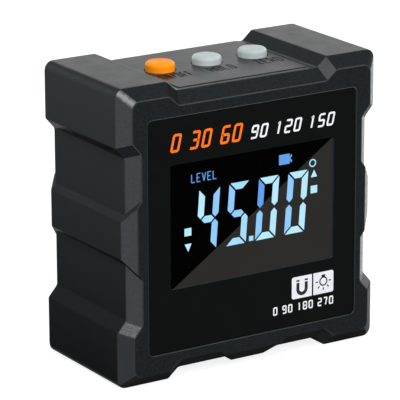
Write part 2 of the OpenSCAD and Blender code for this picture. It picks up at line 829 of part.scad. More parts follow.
front_housing();
rear_cover();
battery_door();
front_panel();
display_lens();
lcd_cell();
backlight();
lcd_frame();
zebra_strip();
main_board();
controller_chip();
tilt_sensor();
key_board();
key_header();
cell(1, 1);  // upper_cell
cell(-1, -1);  // lower_cell
bridge_contact();
positive_contact();
negative_contact();
case_screws();
board_screws();
for (i = [0 : 2]) {
    key_button(i);
    plunger(i);
    tact_switch(i);
}
for (s = [0 : 3]) for (e = [0 : 1])
    magnet(s, e);
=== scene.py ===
"""Looks of the digital angle gauge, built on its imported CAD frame.

Metres, in the CAD's own frame: x to the right, y from the display to the rear and z up.
Drawings on flat faces are written in millimetres.
"""
import json
import math

import bmesh
import bpy
from mathutils import Matrix, Vector


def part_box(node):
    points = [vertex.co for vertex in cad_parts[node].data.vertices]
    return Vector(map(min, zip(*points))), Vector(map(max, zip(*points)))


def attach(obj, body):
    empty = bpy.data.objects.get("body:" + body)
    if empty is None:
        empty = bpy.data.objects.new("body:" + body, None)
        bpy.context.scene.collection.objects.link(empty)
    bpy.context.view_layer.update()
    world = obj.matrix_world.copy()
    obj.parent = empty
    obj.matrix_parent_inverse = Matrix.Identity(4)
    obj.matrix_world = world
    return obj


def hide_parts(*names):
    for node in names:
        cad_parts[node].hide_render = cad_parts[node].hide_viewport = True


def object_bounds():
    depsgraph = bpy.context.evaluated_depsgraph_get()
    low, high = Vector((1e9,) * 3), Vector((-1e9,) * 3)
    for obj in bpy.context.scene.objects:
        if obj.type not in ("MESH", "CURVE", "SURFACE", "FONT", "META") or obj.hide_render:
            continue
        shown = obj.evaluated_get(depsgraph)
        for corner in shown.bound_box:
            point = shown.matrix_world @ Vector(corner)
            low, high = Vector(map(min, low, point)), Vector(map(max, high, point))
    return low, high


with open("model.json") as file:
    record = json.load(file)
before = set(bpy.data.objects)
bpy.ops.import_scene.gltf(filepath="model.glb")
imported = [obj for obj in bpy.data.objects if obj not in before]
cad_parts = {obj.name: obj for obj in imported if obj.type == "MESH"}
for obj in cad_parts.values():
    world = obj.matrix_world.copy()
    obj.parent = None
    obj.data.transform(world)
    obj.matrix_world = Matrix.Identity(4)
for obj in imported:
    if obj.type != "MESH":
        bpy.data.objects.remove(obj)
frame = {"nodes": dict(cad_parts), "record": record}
cad_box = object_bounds()

MM = 0.001
NODES = frame["nodes"]
BODY_OF = {node: body for body, nodes in frame["record"]["behaviour"]["bodies"].items() for node in nodes}
KEYS = ("power", "hold", "zero")

# Lowest and highest corner of the front panel, in metres
PANEL_LOW, PANEL_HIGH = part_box("front_panel")

# Faces that carry drawings, and the thickness of print, in millimetres
PANEL_Y = PANEL_LOW[1] / MM
GLASS_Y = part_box("lcd_cell")[0][1] / MM
DOOR_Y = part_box("battery_door")[1][1] / MM
DECK_FIELD_Z = 58.15
INK = 0.02

# Bounds of the raised field of the key deck, in millimetres
DECK_FIELD_X = 15.2
DECK_FIELD_FRONT = -12.2
DECK_FIELD_LOW, DECK_FIELD_HIGH = 57.9, 58.3

# Height of the body, in millimetres
BODY_HEIGHT = cad_box[1][2] / MM

# Where the painted light and shade on the housing change, in millimetres
CHAMFER_X = 24.0
DECK_END_X = 15.0
CORNER_Z = 52.0
FOOT_Z = 12.0
UNDER_Z = 8.0
RIM_REACH = 0.5

# Shares of a face's normal along one axis that tell the faces of the mould apart
SQUARE = 0.9
TURNED = 0.75
HALFWAY = 0.5
SLANT_LOW, SLANT_HIGH = 0.3, 0.95
LEANING = 0.25
DROOPING = 0.15
ROUNDED = 0.12
FRONTAL = 0.1


# Shader helpers

# Sockets of the Mix node that hold its factor and its two colours, and the one that gives the mixed colour
MIX_INPUTS, MIX_OUTPUT = (0, 6, 7), 2


class Paint:
    """A procedural material: one Principled shader and short calls that wire nodes into it."""

    def __init__(self, name, color, roughness, specular=0.5, metallic=0.0):
        self.material = bpy.data.materials.new(name)
        self.material.use_nodes = True
        self.tree = self.material.node_tree
        self.shader = self.tree.nodes["Principled BSDF"]
        self.color = (*color, 1.0)
        self.roughness = roughness
        self.set("Base Color", self.color)
        self.set("Roughness", roughness)
        self.set("Specular IOR Level", specular)
        self.set("Metallic", metallic)
        self.place = self.node("ShaderNodeTexCoord").outputs["Object"]
        self.normal = None
        self.material.diffuse_color = self.color

    def set(self, socket, value):
        self.shader.inputs[socket].default_value = value
        return self

    def node(self, kind, **inputs):
        node = self.tree.nodes.new(kind)
        for socket, value in inputs.items():
            self.feed(node.inputs[socket.replace("_", " ")], value)
        return node

    def feed(self, socket, value):
        if isinstance(value, bpy.types.NodeSocket):
            self.tree.links.new(value, socket)
        else:
            socket.default_value = value

    def math(self, operation, a, b=0.0):
        node = self.tree.nodes.new("ShaderNodeMath")
        node.operation = operation
        self.feed(node.inputs[0], a)
        self.feed(node.inputs[1], b)
        return node.outputs[0]

    def noise(self, size_mm, detail=2.0, stretch=(1.0, 1.0, 1.0)):
        """Noise from 0 to 1 whose grains are about size_mm across, drawn out along the axes by stretch."""
        place = self.place
        if stretch != (1.0, 1.0, 1.0):
            mapping = self.node("ShaderNodeMapping", Vector=place)
            mapping.inputs["Scale"].default_value = [1 / s for s in stretch]
            place = mapping.outputs["Vector"]
        noise = self.node("ShaderNodeTexNoise", Vector=place, Scale=0.5 / (size_mm * MM), Detail=detail)
        return noise.outputs["Fac"]

    def spread(self, fac, low, high):
        """The middle of a 0 to 1 texture stretched to run from low to high."""
        node = self.node("ShaderNodeMapRange", Value=fac, From_Min=0.3, From_Max=0.7, To_Min=low, To_Max=high)
        return node.outputs["Result"]

    def mix(self, fac, a, b):
        node = self.tree.nodes.new("ShaderNodeMix")
        node.data_type = "RGBA"
        for socket, value in zip(MIX_INPUTS, (fac, a, b)):
            self.feed(node.inputs[socket], value)
        return node.outputs[MIX_OUTPUT]

    def mottle(self, size_mm, amount):
        """Slight drift of the colour over the surface."""
        low = (*(c * (1 - amount) for c in self.color[:3]), 1.0)
        high = (*(min(1.0, c * (1 + amount)) for c in self.color[:3]), 1.0)
        cloud = self.spread(self.noise(size_mm), 0.0, 1.0)
        self.feed(self.shader.inputs["Base Color"], self.mix(cloud, low, high))
        return self

    def uneven(self, size_mm, amount):
        """Roughness that varies over the surface."""
        noise = self.noise(size_mm, detail=3.0)
        rough = self.spread(noise, self.roughness - amount, self.roughness + amount)
        self.feed(self.shader.inputs["Roughness"], rough)
        return self

    def grain(self, size_mm, depth_mm, detail=2.0, stretch=(1.0, 1.0, 1.0)):
        """Bumps of the moulded or brushed surface."""
        bump = self.node("ShaderNodeBump", Height=self.noise(size_mm, detail, stretch), Strength=1.0)
        bump.inputs["Distance"].default_value = depth_mm * MM
        if self.normal is not None:
            self.feed(bump.inputs["Normal"], self.normal)
        self.normal = bump.outputs["Normal"]
        self.feed(self.shader.inputs["Normal"], self.normal)
        return self


def srgb(r, g, b):
    """A colour read as 0 to 255 from the screen, as linear light."""
    return tuple((c / 255 / 12.92) if c <= 10 else ((c / 255 + 0.055) / 1.055) ** 2.4 for c in (r, g, b))


# Materials

# Painted reflection on the display: two points of the slanting line that bounds the glare, as x and z in
# millimetres, and the softness of the line
GLARE_LINE = ((-17.9, 18.35), (19.7, 43.45))
GLARE_EDGE = 0.06
# Painted glare on the dark half of the display, as a share of that on the bright half
DARK_HALF_GLARE = 0.033
# Distance from the middle of a cell, in millimetres, at which its copper end starts
COPPER_X = 12.1


def moulded(name, color, roughness, specular, grain_mm=0.22, depth_mm=0.006):
    """Moulded plastic: fine grain, drifting tone and uneven gloss."""
    paint = Paint(name, color, roughness, specular)
    paint.mottle(size_mm=1.6, amount=0.1).uneven(size_mm=2.5, amount=0.05)
    return paint.grain(size_mm=6.0, depth_mm=0.012, detail=1.0).grain(grain_mm, depth_mm)


def housing_paint():
    """The front of the mould is etched matt, with a speckle of paler grains."""
    paint = Paint("housing_plastic", (0.0075, 0.0102, 0.0122), roughness=0.42, specular=0.05)
    paint.mottle(size_mm=0.22, amount=0.35).uneven(size_mm=2.5, amount=0.05)
    return paint.grain(size_mm=6.0, depth_mm=0.012, detail=1.0).grain(size_mm=0.24, depth_mm=0.014)


def shaded_side_paint():
    """The sides have hardly any gloss, and painted light and shade by height: dark at the bottom and paler
    towards the top.
    """
    paint = Paint("side_plastic_painted_shade", (0.011, 0.013, 0.014), roughness=0.46, specular=0.006)
    paint.uneven(size_mm=2.5, amount=0.05)
    paint.grain(size_mm=6.0, depth_mm=0.012, detail=1.0).grain(size_mm=0.24, depth_mm=0.01)
    height = paint.node("ShaderNodeSeparateXYZ", Vector=paint.place).outputs["Z"]
    painted_light_share = paint.math("MULTIPLY", height, 1 / (BODY_HEIGHT * MM))
    cloud = paint.spread(paint.noise(size_mm=0.35, detail=3.0), -0.03, 0.03)
    tone = paint.node("ShaderNodeClamp", Value=paint.math("ADD", painted_light_share, cloud)).outputs["Result"]
    # Painted shade at the foot of the sides and painted light at their top
    low, high = (0.0036, 0.0043, 0.0046, 1.0), (0.0365, 0.042, 0.044, 1.0)
    paint.feed(paint.shader.inputs["Base Color"], paint.mix(tone, low, high))
    return paint


def under_painted_light_paint():
    """Faces that look down, low on the part, have no gloss, and a base colour paler than the front's as
    painted light, to make up for the little light that reaches them.
    """
    color = (0.02, 0.0215, 0.0215)
    return moulded("under_plastic_painted_light", color, roughness=0.4, specular=0.0, grain_mm=0.24)


def lit_top_paint():
    """The bearing faces are smoother and glossier, and a base paler than the front's is painted on them as
    light from above.
    """
    color = (0.0135, 0.0155, 0.016)
    return moulded("top_plastic_painted_light", color, roughness=0.31, specular=0.14, grain_mm=0.24)


def lit_chamfer_paint():
    """The upright chamfers are glossier than the faces, with a sparkling grain, and a base paler than the
    front's that is painted light.
    """
    paint = Paint("chamfer_plastic_painted_light", (0.0095, 0.0135, 0.0175), roughness=0.27, specular=0.45)
    paint.mottle(size_mm=0.3, amount=0.35).uneven(size_mm=0.5, amount=0.07)
    return paint.grain(size_mm=6.0, depth_mm=0.012, detail=1.0).grain(size_mm=0.3, depth_mm=0.024)


def corner_highlight_paint():
    """The upper corners, and the rim over the panel, carry a painted highlight: a paler, sparkling tone and a
    gloss high enough to catch the lamps.
    """
    paint = Paint("corner_plastic_painted_highlight", (0.011, 0.0145, 0.0175), roughness=0.24, specular=0.85)
    paint.mottle(size_mm=0.25, amount=0.5).uneven(size_mm=0.3, amount=0.08)
    return paint.grain(size_mm=0.3, depth_mm=0.035)


def dull_chamfer_paint():
    """The chamfers of the feet are duller than the other chamfers, with a coarse grain, and a base paler than
    the front's that is painted light.
    """
    color = (0.0135, 0.0165, 0.0185)
    return moulded("dull_chamfer_plastic_painted_light", color, roughness=0.42, specular=0.21, grain_mm=0.3, depth_mm=0.03)


def slope_shade_paint():
    """The slopes under the blocks are painted shade: a dark copy of the plastic with almost no gloss, which
    shows a sheen at a low angle.
    """
    color = (0.0092, 0.0102, 0.0108)
    return moulded("slope_plastic_painted_shade", color, roughness=0.2, specular=0.005, grain_mm=0.24, depth_mm=0.002)


def edge_paint():
    """Rounded edges are glossier and paler than the faces: a painted highlight."""
    color = (0.012, 0.015, 0.017)
    return moulded("edge_highlight_and_mark", color, roughness=0.25, specular=0.22, grain_mm=0.2)


def rear_paint():
    """The rear cover and its door have a finer and glossier grain."""
    color = (0.0135, 0.016, 0.0178)
    return moulded("rear_plastic", color, roughness=0.38, specular=0.18, grain_mm=0.2)


def deck_paint():
    color = (0.016, 0.018, 0.02)
    return moulded("deck_plastic", color, roughness=0.22, specular=0.09, grain_mm=0.3, depth_mm=0.002)


def panel_paint():
    color = (0.0018, 0.0026, 0.0022)
    return moulded("panel_film", color, roughness=0.5, specular=0.033, grain_mm=0.12, depth_mm=0.002)


def glare_glass_paint():
    """Black display glass with a painted reflection: a glare of emitted light over its lower right half,
    below a slanting line, and a faint share of it over the rest.
    """
    paint = Paint("display_glass_painted_glare", (0.0, 0.0, 0.0), roughness=0.5, specular=0.0)
    (x0, z0), (x1, z1) = GLARE_LINE
    slope = (z1 - z0) / (x1 - x0)
    axes = paint.node("ShaderNodeSeparateXYZ", Vector=paint.place).outputs
    below = paint.math("SUBTRACT", paint.math("MULTIPLY", axes["X"], slope), axes["Z"])
    edge = paint.math("ADD", below, (z0 - slope * x0) * MM)
    lit = paint.math("MULTIPLY", edge, 1 / (GLARE_EDGE * MM))
    ramp = paint.node("ShaderNodeMapRange", Value=lit, To_Min=DARK_HALF_GLARE).outputs["Result"]
    glare_cloud = paint.spread(paint.noise(size_mm=9.0), 0.94, 1.06)
    # Colour of the painted glare
    paint.set("Emission Color", (*srgb(46, 45, 43), 1.0))
    paint.feed(paint.shader.inputs["Emission Strength"], paint.math("MULTIPLY", ramp, glare_cloud))
    return paint.grain(size_mm=0.8, depth_mm=0.0005)


def lens_paint():
    """Clear acrylic with a bloomed surface, which gives hardly any reflection."""
    paint = Paint("lens_acrylic", (1.0, 1.0, 1.0), roughness=0.08, specular=0.0)
    paint.set("IOR", 1.01).set("Transmission Weight", 1.0)
    return paint.uneven(size_mm=8.0, amount=0.02)


def segment_paint(name, color):
    """A lit segment: a film of even light with a faint cloud in it."""
    paint = Paint(name, color, roughness=0.6, specular=0.0).set("Base Color", (0.0, 0.0, 0.0, 1.0))
    paint.set("Emission Color", (*color, 1.0))
    paint.feed(paint.shader.inputs["Emission Strength"], paint.spread(paint.noise(size_mm=1.2), 0.97, 1.03))
    return paint


def ink_paint(name, color):
    paint = Paint(name, color, roughness=0.55, specular=0.2)
    return paint.mottle(size_mm=0.5, amount=0.05).grain(size_mm=0.15, depth_mm=0.001)


def metal(name, color, roughness):
    """Plated metal with fine drawn lines."""
    paint = Paint(name, color, roughness, metallic=1.0).uneven(size_mm=0.8, amount=0.06)
    return paint.grain(size_mm=0.12, depth_mm=0.002, stretch=(8.0, 1.0, 1.0))


def jacket_paint():
    """Printed film round a cell: black, with copper ends."""
    black, ends = (0.02, 0.02, 0.022), (0.55, 0.24, 0.09)
    paint = Paint("cell_jacket", black, roughness=0.28)
    along = paint.node("ShaderNodeSeparateXYZ", Vector=paint.place).outputs["X"]
    copper = paint.math("GREATER_THAN", paint.math("ABSOLUTE", along), COPPER_X * MM)
    paint.feed(paint.shader.inputs["Base Color"], paint.mix(copper, (*black, 1.0), (*ends, 1.0)))
    paint.feed(paint.shader.inputs["Metallic"], paint.math("MULTIPLY", copper, 0.8))
    return paint.uneven(size_mm=3.0, amount=0.06).grain(size_mm=0.4, depth_mm=0.002)


def board_paint():
    paint = Paint("solder_mask", (0.012, 0.11, 0.045), roughness=0.3)
    paint.mottle(size_mm=2.0, amount=0.2).uneven(size_mm=1.5, amount=0.08)
    return paint.grain(size_mm=0.5, depth_mm=0.004, stretch=(4.0, 1.0, 1.0))


HOUSING = housing_paint()
SIDE_PAINTED_SHADE = shaded_side_paint()
UNDER_PAINTED_LIGHT = under_painted_light_paint()
TOP_PAINTED_LIGHT = lit_top_paint()
CHAMFER_PAINTED_LIGHT = lit_chamfer_paint()
CORNER_PAINTED_HIGHLIGHT = corner_highlight_paint()
DULL_CHAMFER_PAINTED_LIGHT = dull_chamfer_paint()
SLOPE_PAINTED_SHADE = slope_shade_paint()
EDGE_HIGHLIGHT_AND_MARK = edge_paint()
REAR = rear_paint()
DECK = deck_paint()
PANEL = panel_paint()
CUT_EDGE = moulded("panel_cut_edge", srgb(44, 51, 61), roughness=0.4, specular=0.2, grain_mm=0.2,
                   depth_mm=0.002)
GLASS_WITH_GLARE = glare_glass_paint()
LENS = lens_paint()
BRIGHT = segment_paint("segment_bright", srgb(186, 236, 255))
MIDDLE = segment_paint("segment_middle", srgb(167, 224, 255))
SOFT = segment_paint("segment_soft", srgb(146, 204, 254))
DIM = segment_paint("segment_dim", srgb(102, 160, 238))
WHITE_INK = ink_paint("ink_white", srgb(230, 233, 236))
ORANGE_INK = ink_paint("ink_orange", srgb(250, 112, 4))
TILE_INK = ink_paint("ink_tile", srgb(222, 226, 231))
DARK_INK = ink_paint("ink_dark", srgb(20, 22, 24))
LEGEND_INK = ink_paint("ink_legend", (0.008, 0.008, 0.009)).set("Specular IOR Level", 0.015)
ORANGE = moulded("key_orange", (1.0, 0.285, 0.01), roughness=0.36, specular=0.03, grain_mm=0.3,
                 depth_mm=0.004)
GREY = moulded("key_grey", (0.41, 0.466, 0.468), roughness=0.36, specular=0.08, grain_mm=0.3,
               depth_mm=0.004)
WHITE_PLASTIC = moulded("white_plastic", (0.72, 0.74, 0.75), roughness=0.45, specular=0.4)
RUBBER = moulded("zebra_rubber", (0.5, 0.22, 0.26), roughness=0.6, specular=0.2)
CHIP = moulded("chip_plastic", (0.02, 0.02, 0.022), roughness=0.5, specular=0.4, grain_mm=0.1, depth_mm=0.003)
BOARD = board_paint()
JACKET = jacket_paint()
CONTACT = metal("nickel_contact", (0.62, 0.62, 0.6), roughness=0.28)
SCREW = metal("zinc_screw", (0.4, 0.41, 0.42), roughness=0.32)
MAGNET = metal("nickel_magnet", (0.6, 0.6, 0.58), roughness=0.2)


# Mesh helpers

# Distance in millimetres under which two points are one
WELD = 1e-4
# Least cosine by which the bend of a stroke is mitred
MITRE_LIMIT = 0.5
# Steps of a rounded corner of a box
CORNER_STEPS = 5


def add_piece(name, mesh, body, paint):
    piece = bpy.data.objects.new(name, mesh)
    bpy.context.scene.collection.objects.link(piece)
    mesh.materials.append(paint.material)
    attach(piece, body)
    return piece


def mesh_from(name, bm):
    mesh = bpy.data.meshes.new(name)
    bm.to_mesh(mesh)
    bm.free()
    return mesh


def facing_front(y):
    """Drawing plane that faces the front at y: across is x, up is z."""
    return Matrix(((1, 0, 0, 0), (0, 0, -1, y), (0, 1, 0, 0), (0, 0, 0, 1)))


def facing_back(y):
    """Drawing plane that faces the rear at y, read from behind: across is x to the left, up is z."""
    return Matrix(((-1, 0, 0, 0), (0, 0, 1, y), (0, 1, 0, 0), (0, 0, 0, 1)))


def facing_up(z):
    """Drawing plane that faces up at z: across is x, up the page is y."""
    return Matrix.Translation((0, 0, z))


def drawing(name, faces, plane, paint, body="gauge", thick=INK):
    """Flat faces, each a list of points in millimetres, as one thin piece on a plane."""
    bm = bmesh.new()
    for face in faces:
        bm.faces.new([bm.verts.new((x, y, 0)) for x, y in face])
    bmesh.ops.remove_doubles(bm, verts=bm.verts, dist=WELD)
    bmesh.ops.recalc_face_normals(bm, faces=bm.faces)
    if sum(f.normal.z for f in bm.faces) < 0:
        bmesh.ops.reverse_faces(bm, faces=bm.faces)
    top = bmesh.ops.extrude_face_region(bm, geom=bm.faces[:])["geom"]
    bmesh.ops.translate(bm, verts=[v for v in top if isinstance(v, bmesh.types.BMVert)], vec=(0, 0, thick))
    bmesh.ops.recalc_face_normals(bm, faces=bm.faces)
    bm.transform(Matrix.Scale(MM, 4) @ plane)
    add_piece(name, mesh_from(name, bm), body, paint)


def rounded(points, radius, closed=False, steps=4):
    """A line with its corners rounded."""
    points = [Vector(p) for p in points]
    out = []
    for i, p in enumerate(points):
        if not closed and i in (0, len(points) - 1):
            out.append(p)
            continue
        a, b = points[i - 1], points[(i + 1) % len(points)]
        reach = min(radius, (a - p).length / 2, (b - p).length / 2)
        start, end = p + (a - p).normalized() * reach, p + (b - p).normalized() * reach
        for k in range(steps + 1):
            t = k / steps
            out.append(start * (1 - t) ** 2 + p * 2 * t * (1 - t) + end * t * t)
    return out


def ribbon(points, width, closed=False):
    """Faces of a stroke of even width along a line, with mitred bends."""
    points = [Vector(p) for p in points]
    count = len(points)
    rails = []
    for i, p in enumerate(points):
        before = (p - points[i - 1]).normalized() if closed or i > 0 else None
        after = (points[(i + 1) % count] - p).normalized() if closed or i < count - 1 else None
        along = ((before or after) + (after or before)).normalized()
        side = Vector((-along.y, along.x))
        straight = Vector((-(before or after).y, (before or after).x))
        rails.append((p, side * (width / 2 / max(side.dot(straight), MITRE_LIMIT))))
    faces = []
    for i in range(count if closed else count - 1):
        (p, s), (q, t) = rails[i], rails[(i + 1) % count]
        faces.append([p - s, q - t, q + t, p + s])
    return faces


def rounded_box(x0, y0, x1, y1, radii):
    """A box with its own radius at each corner, from the lower left one on round to the upper left."""
    out = []
    corners = ((x0, y0, 180), (x1, y0, 270), (x1, y1, 0), (x0, y1, 90))
    for (x, y, turn), r in zip(corners, radii):
        cx, cy = (x + r if x == x0 else x - r), (y + r if y == y0 else y - r)
        turns = [turn + 90 * k / CORNER_STEPS for k in range(CORNER_STEPS + 1)] if r else [0.0]
        angles = [math.radians(a) for a in turns]
        out += [(cx + r * math.cos(a), cy + r * math.sin(a)) for a in angles]
    return out


def circle(x, y, r, steps=32):
    angles = [math.tau * k / steps for k in range(steps)]
    return [(x + r * math.cos(a), y + r * math.sin(a)) for a in angles]


# Stroke letters on a grid: each stroke is a line of grid points, closed where its ends meet
GRID_W, GRID_H = 4, 6
GLYPHS = {
    "0": ["00 40 46 06 00"], "1": ["15 26 20"], "2": ["06 46 43 03 00 40"], "3": ["06 46 40 00", "13 43"],
    "5": ["46 06 03 43 40 00"], "6": ["46 06 00 40 43 03"], "7": ["06 46 20"],
    "8": ["00 40 46 06 00", "03 43"], "9": ["43 03 06 46 40 00"],
    "D": ["00 30 41 45 36 06 00"], "E": ["46 06 00 40", "03 33"], "F": ["46 06 00", "03 33"],
    "H": ["06 00", "46 40", "03 43"], "L": ["06 00 40"], "N": ["00 06 40 46"], "O": ["00 40 46 06 00"],
    "R": ["00 06 46 43 03", "23 40"], "V": ["06 20 46"], "Z": ["06 46 00 40"], "/": ["00 46"], " ": [],
}
# Shares of a letter's width that lie between letters and in a blank
LETTER_GAP, BLANK = 0.34, 0.45
# Radius of a letter's bends, in widths of its stroke
LETTER_BEND = 0.75


def lettering(text, x, y, width, height, stroke, slant=0.0):
    """Faces of a line of stroke letters that starts at x, stands on y and is width long."""
    cells = sum(BLANK if letter == " " else 1.0 for letter in text)
    cell = width / (cells + LETTER_GAP * (len(text) - 1))
    across, up = (cell - stroke) / GRID_W, (height - stroke) / GRID_H
    faces = []
    for letter in text:
        for line in GLYPHS[letter]:
            grid = [(int(p[0]), int(p[1])) for p in line.split()]
            closed = grid[0] == grid[-1]
            points = [(g[0] * across, g[1] * up) for g in (grid[:-1] if closed else grid)]
            curve = rounded(points, stroke * LETTER_BEND, closed)
            for face in ribbon(curve, stroke, closed):
                faces.append([(x + stroke / 2 + p[0] + slant * (p[1] + stroke / 2), y + stroke / 2 + p[1])
                              for p in face])
        x += cell * (LETTER_GAP + (BLANK if letter == " " else 1.0))
    return faces


# Shells: CAD pieces with their edges rounded as they leave the mould

# Angles in degrees, under which neighbouring faces are one and over which an edge is rounded
FLAT_ANGLE, SHARP_ANGLE = 0.6, 28.0
# Width of a rounded edge on the key deck, in millimetres, and the steps of every rounding
DECK_EDGE, ROUNDING_STEPS = 0.05, 3
# Places of a shell's own paint and of its edge paint among its materials
OWN_PLACE, EDGE_PLACE = 0, 1


def on_deck(point):
    """Whether a point in metres lies on the raised field of the key deck."""
    x, y, z = (c / MM for c in point)
    return abs(x) < DECK_FIELD_X and y > DECK_FIELD_FRONT and DECK_FIELD_LOW < z < DECK_FIELD_HIGH


def shell(node, paint, edge_mm, edge_paint=None):
    """A copy of a CAD node that stands for it, with its sharp edges rounded.

    Edges on the key deck get a finer rounding than edge_mm. With edge_paint, that paint takes the second
    material place and goes on the rounded edges.
    """
    bm = bmesh.new()
    bm.from_mesh(NODES[node].data)
    bmesh.ops.remove_doubles(bm, verts=bm.verts, dist=WELD * MM)
    bmesh.ops.dissolve_limit(bm, angle_limit=math.radians(FLAT_ANGLE), verts=bm.verts, edges=bm.edges)
    sharp = [e for e in bm.edges if e.is_manifold and e.calc_face_angle(0) > math.radians(SHARP_ANGLE)]
    fine = {e for e in sharp if all(on_deck(v.co) for v in e.verts)}
    coarse = [e for e in sharp if e not in fine]
    for edges, width in ((fine, DECK_EDGE), (coarse, edge_mm)):
        if edges:
            whole = [e for e in edges if e.is_valid]
            bmesh.ops.bevel(bm, geom=whole, offset=width * MM, offset_type="OFFSET", segments=ROUNDING_STEPS,
                            profile=0.5, affect="EDGES", clamp_overlap=False, loop_slide=True,
                            material=EDGE_PLACE if edge_paint else -1)
    for face in bm.faces:
        face.smooth = True
    piece = add_piece(node + "_shell", mesh_from(node + "_shell", bm), BODY_OF[node], paint)
    if edge_paint:
        piece.data.materials.append(edge_paint.material)
    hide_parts(node)
    weighted = piece.modifiers.new("flat faces stay flat", "WEIGHTED_NORMAL")
    weighted.weight = 100
    return piece


def paint_faces(piece, paint, wanted):
    """Gives another paint to the faces of a piece's own paint that wanted picks."""
    materials = piece.data.materials
    if paint.material.name not in materials:
        materials.append(paint.material)
    place = materials.find(paint.material.name)
    for face in piece.data.polygons:
        if face.material_index == OWN_PLACE and wanted(face):
            face.material_index = place


def is_under(face):
    return face.normal.z < -HALFWAY and face.center.z < UNDER_Z * MM


def is_deck_end(face, side):
    """Whether a face slants from an end of the deck to the front: side is -1 for the left end, else 1."""
    beyond = face.center.x * side > DECK_END_X * MM
    return beyond and -face.normal.x * side > LEANING and SLANT_LOW < -face.normal.y < SLANT_HIGH


def is_shaded_slope(face):
    """Whether a face is a slope under a block or the facet at the left end of the deck."""
    below_block = face.normal.z < -SLANT_LOW and abs(face.normal.y) < SLANT_LOW
    return below_block or (is_deck_end(face, -1) and face.center.z > CORNER_Z * MM)


def is_recess_rim(face):
    """Whether a face is on the upper rim of the panel's recess, which catches light from the floor."""
    reach = RIM_REACH * MM
    inside = all(PANEL_LOW[i] - reach < face.center[i] < PANEL_HIGH[i] + reach for i in (0, 2))
    return inside and face.normal.z < -DROOPING and face.normal.y < -FRONTAL


def rounds_corner(face):
    """Whether a face is on the rounding of an upper corner."""
    return face.center.z > CORNER_Z * MM and face.normal.z > ROUNDED


def is_matt(face):
    """Whether a face is on the right foot or the upper right rounding, which stay as matt as the front."""
    return face.center.x > 0 and (rounds_corner(face) or face.center.z < FOOT_Z * MM)


def is_chamfer(face):
    slanting = SLANT_LOW < abs(face.normal.y) < SLANT_HIGH and abs(face.normal.x) > LEANING
    outside = abs(face.center.x) > CHAMFER_X * MM
    return slanting and outside and face.normal.z > -SLANT_LOW and not is_matt(face)


def is_corner(face):
    return rounds_corner(face) and abs(face.normal.x) > ROUNDED and is_chamfer(face)


def is_dull_chamfer(face):
    """Whether a face is a chamfer of a foot or the facet at the right end of the deck."""
    return is_deck_end(face, 1) or (is_chamfer(face) and face.center.z < FOOT_Z * MM)


def is_side(face):
    return abs(face.normal.x) > TURNED and abs(face.normal.y) < SLANT_LOW


def is_rear(face):
    return face.normal.y > SLANT_LOW


def is_top(face):
    return face.normal.z > SQUARE and not on_deck(face.center)


def is_deck(face):
    return face.normal.z > SQUARE and on_deck(face.center)


def is_cut_edge(face):
    return abs(face.normal.y) < SLANT_LOW


def finish_mould(piece):
    """Paints the faces of a housing piece by which way they face and where they lie, with copies of one
    plastic that carry painted light and shade.

    Rounded edges that run along the sides or look down take the plain paint again, so the painted highlight
    stays on edges that face the front.
    """
    for face in piece.data.polygons:
        plain = abs(face.normal.y) < LEANING or face.normal.z < -DROOPING
        if face.material_index == EDGE_PLACE and plain:
            face.material_index = OWN_PLACE
    paint_faces(piece, CORNER_PAINTED_HIGHLIGHT, is_recess_rim)
    paint_faces(piece, UNDER_PAINTED_LIGHT, is_under)
    paint_faces(piece, SLOPE_PAINTED_SHADE, is_shaded_slope)
    paint_faces(piece, DULL_CHAMFER_PAINTED_LIGHT, is_dull_chamfer)
    paint_faces(piece, CORNER_PAINTED_HIGHLIGHT, is_corner)
    paint_faces(piece, CHAMFER_PAINTED_LIGHT, is_chamfer)
    paint_faces(piece, SIDE_PAINTED_SHADE, is_side)
    paint_faces(piece, TOP_PAINTED_LIGHT, is_top)


def dress(node, paint):
    """A CAD node that is shown as it is, with its material."""
    data = NODES[node].data
    data.materials.clear()
    data.materials.append(paint.material)


housing = shell("front_housing", HOUSING, edge_mm=0.15, edge_paint=EDGE_HIGHLIGHT_AND_MARK)
finish_mould(housing)
paint_faces(housing, DECK, is_deck)
cover = shell("rear_cover", HOUSING, edge_mm=0.16, edge_paint=EDGE_HIGHLIGHT_AND_MARK)
finish_mould(cover)
paint_faces(cover, REAR, is_rear)
shell("battery_door", REAR, edge_mm=0.14, edge_paint=EDGE_HIGHLIGHT_AND_MARK)
panel = shell("front_panel", PANEL, edge_mm=0.06)
paint_faces(panel, CUT_EDGE, is_cut_edge)
for key in KEYS:
    slot, paint = ("key_orange", ORANGE) if key == "power" else ("key_grey", GREY)
    shell(key + "_button", paint, edge_mm=0.1)
shell("case_screws", SCREW, edge_mm=0.06)

# Paints of the pieces that are shown as they are
PLAIN_PIECES = {
    "display_lens": LENS, "lcd_cell": GLASS_WITH_GLARE, "backlight": WHITE_PLASTIC, "lcd_frame": WHITE_PLASTIC,
    "zebra_strip": RUBBER, "main_board": BOARD, "controller_chip": CHIP, "tilt_sensor": CHIP,
    "key_board": BOARD, "key_header": CHIP, "upper_cell": JACKET, "lower_cell": JACKET,
    "bridge_contact": CONTACT, "positive_contact": CONTACT, "negative_contact": CONTACT,
    "board_screws": SCREW,
}
for node, paint in PLAIN_PIECES.items():
    dress(node, paint)
for node in NODES:
    if node.endswith(("_plunger", "_switch")):
        dress(node, CHIP)
    elif "_magnet_" in node:
        dress(node, MAGNET)


# Lit display, in millimetres

SEGMENT_W, SEGMENT_H, SEGMENT_T, SEGMENT_GAP = 4.75, 12.6, 1.38, 0.25
DIGIT_SLANT = math.tan(math.radians(4.5))
DIGIT_X, DIGIT_PITCH, DIGIT_Z = -12.55, 6.92, 25.1
